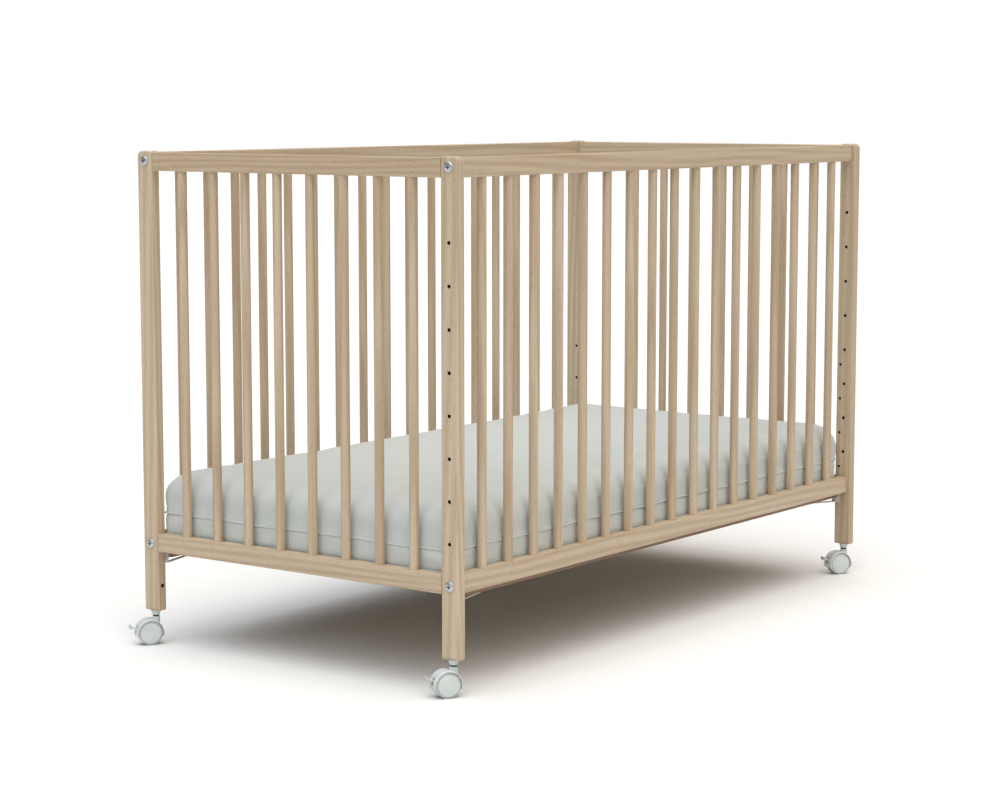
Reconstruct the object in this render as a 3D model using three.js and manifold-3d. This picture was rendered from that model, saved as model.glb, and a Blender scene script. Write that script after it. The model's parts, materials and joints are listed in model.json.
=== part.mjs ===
// A baby crib on four braked casters, for a 600 x 1200 mm mattress.
// Millimetres, +Z up. X runs along the long sides and Y across.
// Front is -Y, back is +Y, left is -X and right is +X.
// The origin is on the floor, under the middle of everything, casters and their brake tabs included.

import * as THREE from 'three';
import { mergeVertices } from 'three/addons/utils/BufferGeometryUtils.js';
import Module from 'manifold-3d';

const wasm = await Module();
wasm.setup();

// ---- driving dimensions ----

const GAP = 0.3; // between pieces that touch
const LENGTH = 1240; // outside, along X
const WIDTH = 653; // outside, along Y

const POST = { thick: 18, wide: 32, foot: 57.5, top: 814, edge: 2.5, crown: 8 };
const RAIL = { thick: 18, tall: 30, upperTop: 812, lowerTop: 187, edge: 2.5 };
const SPINDLE = { diameter: 15, pitch: 67.4, longCount: 17, endCount: 8, sides: 12 };

const HOLE = { diameter: 6, count: 8, pitch: 64.55, topZ: 686.5, sides: 8 };
const PIN_HOLE = { diameter: 5.2, depth: 11, fromOutside: 24.2, drop: 28.4, count: 5, sides: 8 };
const NUT_HOLE = { diameter: 7, depth: 12, z: 99.4, sides: 10 };

const BOLT = {
  headDiameter: 16, headHeight: 3.2, shank: 6, length: 58, upperZ: 798, lowerZ: 170, sides: 10,
  slotLength: 9, slotWidth: 2, slotDepth: 2,
};

const MATTRESS = {
  long: 1201, wide: 601, bottom: 168.3, thick: 120, corner: 9, topRound: 34, lowerRound: 12,
  seamZ: 218, seamHalf: 5, seamDepth: 1.5,
};
const BASE = {
  battenLong: 1198, battenWide: 17.6, battenBottom: 146, battenTop: 160, outerY: 300.9,
  slatWide: 80, slatThick: 7.7, slatLong: 601, slatCount: 9, slatEndInset: 40,
};
const BRACKET = {
  thick: 2.1, wide: 15.5, innerY: 290, top: 153, foot: 136.6, shelfTop: 145.7,
  armWide: 6, armThick: 2, armReach: 78, armDrop: 6.9, webWide: 3,
};

const CASTER = {
  heading: 147, trail: 11.5, wheelRadius: 20, wheelInner: 3.6, wheelOuter: 12.4, wheelSides: 20,
  hoodRadius: 23, hoodHalfWidth: 13, hoodSkirt: 18, webHalf: 3.2, clearRadius: 20.8,
  bossRadius: 6.5, bossTop: 46.6, axleRadius: 2, axleHalf: 10.6, stemRadius: 3, stemBottom: 38.2,
  washerRadius: 5.4, collarNeckRadius: 6, collarNeckZ: 49.6, collarTopRadius: 8.2, plugRadius: 5, plugTop: 88,
};
const BRAKE = {
  pivotU: 27, pivotZ: 25, barrel: 2.6, halfWidth: 2.8, armThick: 2.6,
  tabU: 43.5, tabZ: 31, tabThick: 2.8, tabTall: 6.6, tabHalf: 6.5, slotBottom: 20, slotTop: 31.5,
};

const POST_X = (LENGTH - POST.thick) / 2; // centre of each post
const POST_Y = (WIDTH - POST.wide) / 2;
const INSIDE_X = LENGTH / 2 - POST.thick; // inner faces of the posts and of the end rails

// ---- finishes ----

function finish(color, roughness, metalness) {
  return new THREE.MeshStandardMaterial({ color, roughness, metalness });
}

const WOOD = finish(0xbfa683, 0.62, 0);
const ZINC = finish(0xc9cdd0, 0.3, 0.9);
const WHITE_STEEL = finish(0xe9e9e6, 0.45, 0.1);
const WHITE_PLASTIC = finish(0xe6e9e6, 0.3, 0);
const COVER = finish(0xb9c0b8, 0.95, 0);

// ---- solids ----

// Turns a closed three.js geometry into a solid that can be cut and joined.
function solid(geometry) {
  const bare = geometry.index ? geometry.toNonIndexed() : geometry.clone();
  bare.deleteAttribute('normal');
  bare.deleteAttribute('uv');
  const merged = mergeVertices(bare, 1e-4);
  return new wasm.Manifold(new wasm.Mesh({
    numProp: 3,
    vertProperties: new Float32Array(merged.attributes.position.array),
    triVerts: new Uint32Array(merged.index.array),
  }));
}

function geometryOf(body) {
  const mesh = body.getMesh();
  const geometry = new THREE.BufferGeometry();
  geometry.setAttribute('position', new THREE.BufferAttribute(mesh.vertProperties, 3));
  geometry.setIndex(new THREE.BufferAttribute(mesh.triVerts, 1));
  geometry.computeVertexNormals();
  return geometry;
}

// Round bar of the given length, centred on (x, y, z) and lying along one axis.
function roundBar(radius, length, axis, x, y, z, sides) {
  const bar = new THREE.CylinderGeometry(radius, radius, length, sides);
  if (axis === 'x') bar.rotateZ(Math.PI / 2);
  if (axis === 'z') bar.rotateX(Math.PI / 2);
  return bar.translate(x, y, z);
}

// Rectangular bar with all its edges rounded, centred on the origin, long along X.
function easedBar(long, wide, tall, edge) {
  const a = wide / 2;
  const b = tall / 2;
  const shape = new THREE.Shape();
  shape.moveTo(-a + edge, -b);
  shape.absarc(a - edge, -b + edge, edge, -Math.PI / 2, 0);
  shape.absarc(a - edge, b - edge, edge, 0, Math.PI / 2);
  shape.absarc(-a + edge, b - edge, edge, Math.PI / 2, Math.PI);
  shape.absarc(-a + edge, -b + edge, edge, Math.PI, Math.PI * 1.5);
  const bar = new THREE.ExtrudeGeometry(shape, { depth: long, bevelEnabled: false, curveSegments: 2 });
  bar.translate(0, 0, -long / 2);
  bar.rotateX(Math.PI / 2);
  return bar.rotateZ(Math.PI / 2);
}

function cutAll(geometry, cutters) {
  return geometryOf(cutters.reduce((body, cutter) => body.subtract(solid(cutter)), solid(geometry)));
}

function joinAll(geometries) {
  const [first, ...others] = geometries.map(solid);
  return geometryOf(others.reduce((body, other) => body.add(other), first));
}

// ---- the object ----

const crib = new THREE.Group();

function add(name, geometry, material, parent = crib) {
  const mesh = new THREE.Mesh(geometry, material);
  mesh.name = name;
  parent.add(mesh);
  return mesh;
}

const CORNERS = [
  { name: 'front_left', sx: -1, sy: -1 },
  { name: 'front_right', sx: 1, sy: -1 },
  { name: 'back_left', sx: -1, sy: 1 },
  { name: 'back_right', sx: 1, sy: 1 },
];

// Post blank: its outline across the crib, with a large radius at the outer top corner, given its thickness.
function postBlank(sx, sy) {
  const { thick, wide, foot, top, edge, crown } = POST;
  const half = wide / 2 - edge;
  const low = foot + edge;
  const high = top - edge;
  const r = crown - edge;
  const shape = new THREE.Shape();
  shape.moveTo(-half, low);
  shape.lineTo(half, low);
  shape.lineTo(half, high - r);
  shape.absarc(half - r, high - r, r, 0, Math.PI / 2);
  shape.lineTo(-half, high);
  const blank = new THREE.ExtrudeGeometry(shape, {
    depth: thick - 2 * edge, bevelThickness: edge, bevelSize: edge, bevelSegments: 2, curveSegments: 3,
  });
  blank.translate(0, 0, edge - thick / 2);
  blank.rotateX(Math.PI / 2);
  blank.rotateZ(sy > 0 ? Math.PI / 2 : -Math.PI / 2);
  return blank.translate(sx * POST_X, sy * POST_Y, 0);
}

// Holes of a post: bolts, foot plug, bracket pins, barrel nut, and on the front posts a row right through.
function postCutters(sx, sy) {
  const through = (diameter, z) => roundBar(diameter / 2, 40, 'x', sx * POST_X, sy * POST_Y, z, HOLE.sides);
  const cutters = [through(BOLT.shank + 2 * GAP, BOLT.upperZ), through(BOLT.shank + 2 * GAP, BOLT.lowerZ)];
  for (let i = 0; sy < 0 && i < HOLE.count; i += 1) {
    cutters.push(through(HOLE.diameter, HOLE.topZ - i * HOLE.pitch));
  }

  const pinY = sy * (WIDTH / 2 - PIN_HOLE.fromOutside);
  const lowestHole = HOLE.topZ - (HOLE.count - 1) * HOLE.pitch;
  for (let i = 0; i < PIN_HOLE.count; i += 1) {
    const z = lowestHole - PIN_HOLE.drop + (PIN_HOLE.count - 2 - i) * HOLE.pitch;
    const radius = PIN_HOLE.diameter / 2;
    cutters.push(roundBar(radius, 2 * PIN_HOLE.depth, 'x', sx * INSIDE_X, pinY, z, PIN_HOLE.sides));
  }

  const innerY = sy * (WIDTH / 2 - POST.wide);
  const { diameter, depth, z, sides } = NUT_HOLE;
  cutters.push(roundBar(diameter / 2, 2 * depth, 'y', sx * POST_X, innerY, z, sides));

  const plugLong = 2 * (CASTER.plugTop + GAP - POST.foot);
  cutters.push(roundBar(CASTER.plugRadius + GAP, plugLong, 'z', sx * POST_X, sy * POST_Y, POST.foot, 12));
  return cutters;
}

function addPosts() {
  for (const { name, sx, sy } of CORNERS) {
    add(`post_${name}`, cutAll(postBlank(sx, sy), postCutters(sx, sy)), WOOD);
  }
}

// Rail of a long side, bored at both ends for its connector bolts.
function longRail(y, z, boltZ) {
  const long = LENGTH - 2 * POST.thick - 2 * GAP;
  const rail = easedBar(long, RAIL.thick, RAIL.tall, RAIL.edge).translate(0, y, z);
  const bore = BOLT.shank / 2 + GAP;
  const depth = BOLT.length - POST.thick + 4;
  const bores = [-1, 1].map((s) => roundBar(bore, 2 * depth, 'x', s * INSIDE_X, y, boltZ, HOLE.sides));
  return cutAll(rail, bores);
}

function endRail(x, z) {
  const long = WIDTH - 2 * POST.wide - 2 * GAP;
  return easedBar(long, RAIL.thick, RAIL.tall, RAIL.edge).rotateZ(Math.PI / 2).translate(x, 0, z);
}

// Evenly pitched spindles standing in a lower rail and reaching up to the upper one.
function spindles(count, placeAt) {
  const foot = RAIL.lowerTop - RAIL.tall / 2;
  const top = RAIL.upperTop - RAIL.tall - GAP;
  return Array.from({ length: count }, (_, i) => {
    const [x, y] = placeAt((i - (count - 1) / 2) * SPINDLE.pitch);
    return roundBar(SPINDLE.diameter / 2, top - foot, 'z', x, y, (top + foot) / 2, SPINDLE.sides);
  });
}

function addPanels() {
  const upperZ = RAIL.upperTop - RAIL.tall / 2;
  const lowerZ = RAIL.lowerTop - RAIL.tall / 2;
  for (const [side, s] of [['front', -1], ['back', 1]]) {
    const y = s * POST_Y;
    add(`top_rail_${side}`, longRail(y, upperZ, BOLT.upperZ), WOOD);
    const bars = spindles(SPINDLE.longCount, (along) => [along, y]);
    add(`spindled_rail_${side}`, joinAll([longRail(y, lowerZ, BOLT.lowerZ), ...bars]), WOOD);
  }
  for (const [side, s] of [['left', -1], ['right', 1]]) {
    const x = s * POST_X;
    add(`top_rail_${side}`, endRail(x, upperZ), WOOD);
    const bars = spindles(SPINDLE.endCount, (along) => [x, along]);
    add(`spindled_rail_${side}`, joinAll([endRail(x, lowerZ), ...bars]), WOOD);
  }
}

// Connector bolt with a domed head and a cross recess, head towards +Y before it is turned.
function boltGeometry() {
  const { headDiameter, headHeight, shank, length, sides, slotLength, slotWidth, slotDepth } = BOLT;
  const r = headDiameter / 2;
  const h = headHeight;
  const profile = [
    [0, -length], [shank / 2, -length], [shank / 2, 0],
    [r, 0], [r, h * 0.2], [r * 0.8, h * 0.7], [0, h],
  ].map(([x, y]) => new THREE.Vector2(x, y));
  const slots = [0, Math.PI / 2].map((turn) => {
    return new THREE.BoxGeometry(slotLength, 2 * slotDepth, slotWidth).rotateY(turn).translate(0, h, 0);
  });
  return cutAll(new THREE.LatheGeometry(profile, sides), slots);
}

function addBolts() {
  const bolt = boltGeometry();
  for (const { name, sx, sy } of CORNERS) {
    for (const [level, z] of [['upper', BOLT.upperZ], ['lower', BOLT.lowerZ]]) {
      const mesh = add(`connector_bolt_${level}_${name}`, bolt, ZINC);
      mesh.rotation.z = -sx * Math.PI / 2;
      mesh.position.set(sx * (LENGTH / 2 + GAP), sy * POST_Y, z);
    }
  }
}

// Base that carries the mattress: two long battens with slats across them.
function addBase() {
  const { battenLong, battenWide, battenBottom, battenTop, outerY } = BASE;
  const { slatWide, slatThick, slatLong, slatCount, slatEndInset } = BASE;
  const battenY = outerY - battenWide / 2;
  for (const [side, s] of [['front', -1], ['back', 1]]) {
    const batten = easedBar(battenLong, battenWide, battenTop - battenBottom, 2);
    add(`base_batten_${side}`, batten.translate(0, s * battenY, (battenTop + battenBottom) / 2), WOOD);
  }
  const pitch = (battenLong - 2 * slatEndInset) / (slatCount - 1);
  for (let i = 0; i < slatCount; i += 1) {
    const slat = easedBar(slatLong, slatWide, slatThick, 2).rotateZ(Math.PI / 2);
    slat.translate((i - (slatCount - 1) / 2) * pitch, 0, battenTop + GAP + slatThick / 2);
    add(`base_slat_${i + 1}`, slat, WOOD);
  }
}

// XZ profile given a width across Y; its x counts from the post's face towards the middle of the crib.
function acrossY(points, wide, sx, sy, innerY) {
  const shape = new THREE.Shape(points.map(([x, z]) => new THREE.Vector2(-x, z)));
  const body = new THREE.ExtrudeGeometry(shape, { depth: wide, bevelEnabled: false });
  body.rotateX(Math.PI / 2).translate(0, wide / 2, 0);
  if (sx < 0) body.rotateZ(Math.PI);
  return body.translate(sx * (INSIDE_X - GAP), sy * (innerY + wide / 2), 0);
}

// Bracket: a plate against the post, an arm sloping up to the batten with a web on it, and a pin in the post.
function bracketGeometry(sx, sy) {
  const { thick, wide, innerY, top, foot, shelfTop, armWide, armThick, armReach, armDrop, webWide } = BRACKET;
  const plate = [[0, foot], [thick, foot], [thick, top], [0, top]];
  const low = shelfTop - armThick;
  const arm = [[0.5, low - armDrop], [armReach, low], [armReach, shelfTop], [0.5, shelfTop - armDrop]];
  const webEnd = armReach - 2;
  const web = [[1, shelfTop - armDrop - 1], [webEnd, shelfTop - 1], [webEnd, shelfTop], [1, shelfTop]];
  const webY = innerY + (armWide - webWide) / 2;

  const pinZ = HOLE.topZ - HOLE.count * HOLE.pitch - PIN_HOLE.drop;
  const pinY = sy * (WIDTH / 2 - PIN_HOLE.fromOutside);
  const pinRadius = PIN_HOLE.diameter / 2 - GAP;
  const pinLong = 10;
  const pinX = sx * (INSIDE_X - GAP - thick / 2 + pinLong / 2);
  return joinAll([
    acrossY(plate, wide, sx, sy, innerY),
    acrossY(arm, armWide, sx, sy, innerY),
    acrossY(web, webWide, sx, sy, webY),
    roundBar(pinRadius, pinLong, 'x', pinX, pinY, pinZ, PIN_HOLE.sides),
  ]);
}

function addBrackets() {
  for (const { name, sx, sy } of CORNERS) add(`base_bracket_${name}`, bracketGeometry(sx, sy), WHITE_STEEL);
}

// Points of a rounded rectangle at height z, anticlockwise.
function roundedRing(long, wide, corner, z) {
  const steps = 3;
  return [[1, 1], [-1, 1], [-1, -1], [1, -1]].flatMap(([sx, sy], quarter) => {
    return Array.from({ length: steps + 1 }, (_, i) => {
      const turn = (quarter + i / steps) * Math.PI / 2;
      const x = sx * (long / 2 - corner) + corner * Math.cos(turn);
      const y = sy * (wide / 2 - corner) + corner * Math.sin(turn);
      return [x, y, z];
    });
  });
}

// Closed body through a stack of rings that have the same number of points.
function loft(rings) {
  const count = rings[0].length;
  const index = [];
  for (let level = 0; level < rings.length - 1; level += 1) {
    for (let i = 0; i < count; i += 1) {
      const a = level * count + i;
      const b = level * count + (i + 1) % count;
      index.push(a, b, b + count, a, b + count, a + count);
    }
  }
  const last = (rings.length - 1) * count;
  for (let i = 1; i < count - 1; i += 1) index.push(0, i + 1, i, last, last + i, last + i + 1);
  const body = new THREE.BufferGeometry();
  body.setAttribute('position', new THREE.BufferAttribute(new Float32Array(rings.flat(2)), 3));
  body.setIndex(index);
  body.computeVertexNormals();
  return body;
}

// Mattress: a full rounded edge on top, a smaller one below and a shallow waist at the seam.
function addMattress() {
  const { long, wide, bottom, thick, corner, topRound, lowerRound, seamZ, seamHalf, seamDepth } = MATTRESS;
  const ring = (inset, z) => roundedRing(long - 2 * inset, wide - 2 * inset, corner, z);
  const quarter = (count) => Array.from({ length: count + 1 }, (_, i) => i / count * Math.PI / 2);
  const top = bottom + thick;
  add('mattress', loft([
    ...quarter(3).map((t) => ring(lowerRound * (1 - Math.sin(t)), bottom + lowerRound * (1 - Math.cos(t)))),
    ring(0, seamZ - seamHalf),
    ring(seamDepth, seamZ),
    ring(0, seamZ + seamHalf),
    ...quarter(5).map((t) => ring(topRound * (1 - Math.cos(t)), top - topRound * (1 - Math.sin(t)))),
  ]), COVER);
}

// ---- casters; u runs backwards from the stem, v along the axle ----

// Hood: a web between the wheels, a fender over them and the boss that turns on the stem.
function hoodGeometry() {
  const { trail, wheelRadius, hoodRadius, hoodHalfWidth, hoodSkirt, webHalf, clearRadius } = CASTER;
  const { bossRadius, bossTop, axleRadius, stemRadius, stemBottom } = CASTER;
  const edge = 1;
  const skirt = THREE.MathUtils.degToRad(hoodSkirt);
  const shape = new THREE.Shape();
  shape.absarc(trail, wheelRadius, hoodRadius - edge, -skirt, Math.PI + skirt);
  const shell = new THREE.ExtrudeGeometry(shape, {
    depth: 2 * (hoodHalfWidth - edge), bevelThickness: edge, bevelSize: edge, bevelSegments: 1,
    curveSegments: 14,
  });
  shell.translate(0, 0, edge - hoodHalfWidth).rotateX(Math.PI / 2);

  const bossFoot = 30;
  const boss = roundBar(bossRadius, bossTop - bossFoot, 'z', 0, 0, (bossTop + bossFoot) / 2, 12);
  const wheelRoom = [-1, 1].map((s) => {
    const wide = 2 * hoodHalfWidth;
    return roundBar(clearRadius, wide, 'y', trail, s * (webHalf + wide / 2), wheelRadius, 20);
  });
  const axleHole = roundBar(axleRadius + GAP, 4 * webHalf, 'y', trail, 0, wheelRadius, 8);
  const stemDepth = bossTop - stemBottom + 0.6;
  const stemHole = roundBar(stemRadius + GAP, 2 * stemDepth, 'z', 0, 0, bossTop, 10);
  const { pivotU, barrel, slotBottom, slotTop } = BRAKE;
  const slotStart = pivotU - barrel - 0.4;
  const slotLong = 2 * hoodRadius;
  const slot = new THREE.BoxGeometry(slotLong, 2 * webHalf + 0.6, slotTop - slotBottom);
  slot.translate(slotStart + slotLong / 2, 0, (slotTop + slotBottom) / 2);
  return cutAll(joinAll([shell, boss]), [...wheelRoom, axleHole, stemHole, slot]);
}

// Wheel: flat outer face, rounded tread edge, blind axle hole from the inner side; it turns about Y.
function wheelGeometry() {
  const { wheelRadius, wheelInner, wheelOuter, wheelSides, axleRadius, axleHalf } = CASTER;
  const bore = axleRadius + GAP;
  const r = wheelRadius;
  const profile = [
    [0, wheelOuter - 0.6], [r - 2.4, wheelOuter - 0.6], [r - 1.6, wheelOuter], [r, wheelOuter - 1.6],
    [r, wheelInner], [bore, wheelInner], [bore, axleHalf + GAP], [0, axleHalf + GAP],
  ].map(([x, y]) => new THREE.Vector2(x, y)).reverse();
  return new THREE.LatheGeometry(profile, wheelSides);
}

// Socket: plug in the post's foot, conical collar, washer and the stem that the hood turns on.
function socketGeometry() {
  const { bossTop, stemRadius: stem, stemBottom, washerRadius: washer } = CASTER;
  const { collarNeckRadius: neck, collarNeckZ, collarTopRadius: collar, plugRadius: plug, plugTop } = CASTER;
  const washerZ = bossTop + GAP;
  const under = POST.foot - GAP;
  const profile = [
    [0, stemBottom], [stem, stemBottom], [stem, washerZ], [washer, washerZ], [washer, collarNeckZ],
    [neck, collarNeckZ], [collar, under - 0.8], [collar, under],
    [plug, under], [plug, plugTop], [0, plugTop],
  ].map(([x, y]) => new THREE.Vector2(x, y));
  return new THREE.LatheGeometry(profile, 12).rotateX(Math.PI / 2);
}

// Brake lever: a barrel between the wheels, an arm out of the hood and a foot tab across its end.
function brakeGeometry() {
  const { pivotU, pivotZ, barrel, halfWidth, armThick, tabU, tabZ, tabThick, tabTall, tabHalf } = BRAKE;
  const hub = roundBar(barrel, 2 * halfWidth, 'y', pivotU, 0, pivotZ, 10);
  const long = Math.hypot(tabU - pivotU, tabZ - pivotZ);
  const arm = new THREE.BoxGeometry(long, 2 * halfWidth, armThick).translate(long / 2, 0, 0);
  arm.rotateY(-Math.atan2(tabZ - pivotZ, tabU - pivotU));
  const tab = easedBar(2 * tabHalf, tabThick, tabTall, 0.8).rotateZ(Math.PI / 2);
  return joinAll([hub, arm.translate(pivotU, 0, pivotZ), tab.translate(tabU, 0, tabZ)]);
}

function addCasters() {
  const { trail, wheelRadius, axleRadius, axleHalf, heading } = CASTER;
  const hood = hoodGeometry();
  const wheel = wheelGeometry();
  const socket = socketGeometry();
  const brake = brakeGeometry();
  const axle = roundBar(axleRadius, 2 * axleHalf, 'y', 0, 0, 0, 8);
  for (const { name, sx, sy } of CORNERS) {
    const group = new THREE.Group();
    group.position.set(sx * POST_X, sy * POST_Y, 0);
    group.rotation.z = THREE.MathUtils.degToRad(heading);
    crib.add(group);
    add(`caster_socket_${name}`, socket, WHITE_PLASTIC, group);
    add(`caster_hood_${name}`, hood, WHITE_PLASTIC, group);
    add(`caster_axle_${name}`, axle, ZINC, group).position.set(trail, 0, wheelRadius);
    add(`caster_wheel_outer_${name}`, wheel, WHITE_PLASTIC, group).position.set(trail, 0, wheelRadius);
    const inner = add(`caster_wheel_inner_${name}`, wheel, WHITE_PLASTIC, group);
    inner.position.set(trail, 0, wheelRadius);
    inner.rotation.z = Math.PI;
    add(`caster_brake_${name}`, brake, WHITE_PLASTIC, group);
  }
}

addPosts();
addPanels();
addBolts();
addBase();
addBrackets();
addMattress();
addCasters();

const extent = new THREE.Box3().setFromObject(crib);
const middle = extent.getCenter(new THREE.Vector3());
crib.position.set(-Math.round(middle.x), -Math.round(middle.y), 0);

export default crib;
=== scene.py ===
import json

import bpy
import numpy as np
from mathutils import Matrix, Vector


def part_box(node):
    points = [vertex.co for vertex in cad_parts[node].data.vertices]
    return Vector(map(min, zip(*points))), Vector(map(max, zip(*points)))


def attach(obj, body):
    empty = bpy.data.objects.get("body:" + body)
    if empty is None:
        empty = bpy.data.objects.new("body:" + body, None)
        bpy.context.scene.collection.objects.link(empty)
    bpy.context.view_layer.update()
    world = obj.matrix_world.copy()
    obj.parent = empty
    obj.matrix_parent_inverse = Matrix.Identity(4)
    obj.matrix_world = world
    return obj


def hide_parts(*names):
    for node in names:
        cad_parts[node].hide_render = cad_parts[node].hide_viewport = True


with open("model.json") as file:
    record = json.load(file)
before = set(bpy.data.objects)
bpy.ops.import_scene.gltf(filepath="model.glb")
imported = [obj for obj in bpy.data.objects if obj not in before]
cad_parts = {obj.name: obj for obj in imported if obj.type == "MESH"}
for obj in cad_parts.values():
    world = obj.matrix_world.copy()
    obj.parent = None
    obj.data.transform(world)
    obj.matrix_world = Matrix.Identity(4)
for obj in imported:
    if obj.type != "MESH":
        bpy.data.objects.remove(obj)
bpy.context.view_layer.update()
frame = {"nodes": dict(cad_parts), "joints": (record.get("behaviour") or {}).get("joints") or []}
scene = bpy.context.scene
jointNamed = {joint["name"]: joint for joint in frame["joints"]}

mm = 0.001
white = (1, 1, 1, 1)
usualNoise = (0.3, 0.7)  # where nearly all of a noise's values lie
sharpWood, sharpHard, sharpSteel, sharpNever = 0.7, 0.6, 0.5, 3.0  # past this turn, in radians, an edge shows
corners = [  # name, and which way it lies along X and Y
    ("front_left", -1, -1), ("front_right", 1, -1), ("back_left", -1, 1), ("back_right", 1, 1),
]


def boxOf(node):  # lowest and highest corner of a CAD node, as arrays
    low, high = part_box(node)
    return np.array(low), np.array(high)


def middleOf(node):
    low, high = boxOf(node)
    return (low + high) / 2


cribMiddle = (middleOf("post_front_left") + middleOf("post_back_right")) / 2
cribMiddle[2] = 0
print("frame loaded,", len(frame["nodes"]), "CAD nodes")

camera = {
    "place": (-3.5185, -2.5385, 0.8983),  # from the middle of the crib, at floor level
    "turn": 0.93611,  # radians from straight across towards the right-hand end
    "dip": 0.12127,
    "lens": 89.1, "sensor": 36, "seesTo": 60,
}


def makeCamera():
    lens = bpy.data.cameras.new("camera")
    lens.lens = camera["lens"]
    lens.sensor_width = camera["sensor"]
    lens.clip_end = camera["seesTo"]
    eye = bpy.data.objects.new("camera", lens)
    scene.collection.objects.link(eye)
    eye.location = Vector(camera["place"]) + Vector(cribMiddle)
    turn, dip = camera["turn"], camera["dip"]
    look = Vector((np.sin(turn) * np.cos(dip), np.cos(turn) * np.cos(dip), -np.sin(dip)))
    eye.rotation_euler = look.to_track_quat("-Z", "Y").to_euler()
    scene.camera = eye


makeCamera()


def feed(tree, node, inputs):  # each input is given a value, or a socket to link
    for key, value in inputs.items():
        if isinstance(value, bpy.types.NodeSocket):
            tree.links.new(value, node.inputs[key])
        else:
            node.inputs[key].default_value = value
    return node


def addNode(tree, kind, inputs=None, **settings):
    node = tree.nodes.new("ShaderNode" + kind)
    for key, value in settings.items():
        setattr(node, key, value)
    return feed(tree, node, inputs or {})


def maths(tree, operation, *values):
    return addNode(tree, "Math", dict(enumerate(values)), operation=operation).outputs[0]


def noise(tree, vector, scale, detail, roughness=0.5):
    inputs = {"Vector": vector, "Scale": scale, "Detail": detail, "Roughness": roughness}
    return addNode(tree, "TexNoise", inputs).outputs["Fac"]


def remap(tree, value, low, high, toLow=0.0, toHigh=1.0):
    inputs = {"Value": value, "From Min": low, "From Max": high, "To Min": toLow, "To Max": toHigh}
    return addNode(tree, "MapRange", inputs).outputs["Result"]


def stretched(tree, vector, scale):
    return addNode(tree, "Mapping", {"Vector": vector, "Scale": scale}).outputs["Vector"]


def mixColour(tree, factor, first, second):
    return addNode(tree, "Mix", {0: factor, 6: first, 7: second}, data_type="RGBA").outputs[2]


def bumped(tree, height, distance):
    inputs = {"Height": height, "Distance": distance, "Strength": 1.0}
    return addNode(tree, "Bump", inputs).outputs["Normal"]


def newGroup(name, inputs, outputs):
    tree = bpy.data.node_groups.new(name, "ShaderNodeTree")
    for label, kind in inputs:
        tree.interface.new_socket(label, in_out="INPUT", socket_type="NodeSocket" + kind)
    for label in outputs:
        tree.interface.new_socket(label, in_out="OUTPUT", socket_type="NodeSocketFloat")
    return tree, tree.nodes.new("NodeGroupInput"), tree.nodes.new("NodeGroupOutput")


def putOut(tree, end, results):  # links a group's results to its outputs
    for label, socket in results.items():
        tree.links.new(socket, end.inputs[label])
    return tree


def useGroup(tree, group, inputs):
    node = tree.nodes.new("ShaderNodeGroup")
    node.node_tree = group
    return feed(tree, node, inputs).outputs


def newMaterial(name, **shaderValues):
    material = bpy.data.materials.new(name)
    material.use_nodes = True
    tree = material.node_tree
    shader = tree.nodes["Principled BSDF"]
    for key, value in shaderValues.items():
        shader.inputs[key].default_value = value
    return material, tree, shader


def linear(red, green, blue):  # a screen colour of 0 to 255, as the shader's linear colour
    value = np.array([red, green, blue]) / 255
    value = np.where(value <= 0.04045, value / 12.92, ((value + 0.055) / 1.055) ** 2.4)
    return (*value.tolist(), 1.0)


grain = {  # each layer is noise: how far it is squashed along the grain, its scale, detail and roughness
    "wander": (0.12, 16, 1, 0.5), "tone": (0.06, 11, 1, 0.5), "broad": (0.025, 85, 2, 0.5),
    "fine": (0.012, 420, 3, 0.6), "broadShare": 0.32, "fineShare": 0.46, "ringShare": 0.22,
    "fleckStretch": 0.11, "fleckRange": (0.62, 0.72), "fleckDeep": 0.5, "bend": 0.025,
    "ringStretch": (1, 0.6, 0.02),
    "rings": {"Scale": 62.0, "Distortion": 0.6, "Detail": 2.0, "Detail Scale": 1.5},
}


# Grain along the vector's Z: tone drifts slowly; a streak is a weighted sum of broad noise, fine noise and
# growth rings, which are diagonal bands bent sideways by a slow wander; flecks are peaks of a dashed noise.
def makeBeechGrain():
    tree, start, end = newGroup("beechGrain", [("Vector", "Vector"), ("Fleck Size", "Float")],
                                ["Tone", "Streak", "Fleck", "Height"])
    place = start.outputs["Vector"]

    def layer(name):
        squash, scale, detail, roughness = grain[name]
        return noise(tree, stretched(tree, place, (1, 1, squash)), scale, detail, roughness)

    wander, tone, broad, fine = (layer(name) for name in ("wander", "tone", "broad", "fine"))
    bend = addNode(tree, "CombineXYZ", {"X": maths(tree, "MULTIPLY", wander, grain["bend"])}).outputs[0]
    bent = addNode(tree, "VectorMath", {0: place, 1: bend}, operation="ADD").outputs[0]
    ringInputs = {"Vector": stretched(tree, bent, grain["ringStretch"]), **grain["rings"]}
    wave = addNode(tree, "TexWave", ringInputs, wave_type="BANDS", bands_direction="DIAGONAL")
    broadPart = maths(tree, "MULTIPLY", broad, grain["broadShare"])
    finePart = maths(tree, "MULTIPLY", fine, grain["fineShare"])
    ringPart = maths(tree, "MULTIPLY", wave.outputs["Fac"], grain["ringShare"])
    streak = maths(tree, "ADD", maths(tree, "ADD", broadPart, finePart), ringPart)
    dashed = stretched(tree, place, (1, 1, grain["fleckStretch"]))
    dashes = noise(tree, dashed, start.outputs["Fleck Size"], 1)
    fleck = remap(tree, dashes, *grain["fleckRange"])
    height = maths(tree, "SUBTRACT", streak, maths(tree, "MULTIPLY", fleck, grain["fleckDeep"]))
    return putOut(tree, end, {"Tone": tone, "Streak": streak, "Fleck": fleck, "Height": height})


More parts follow.
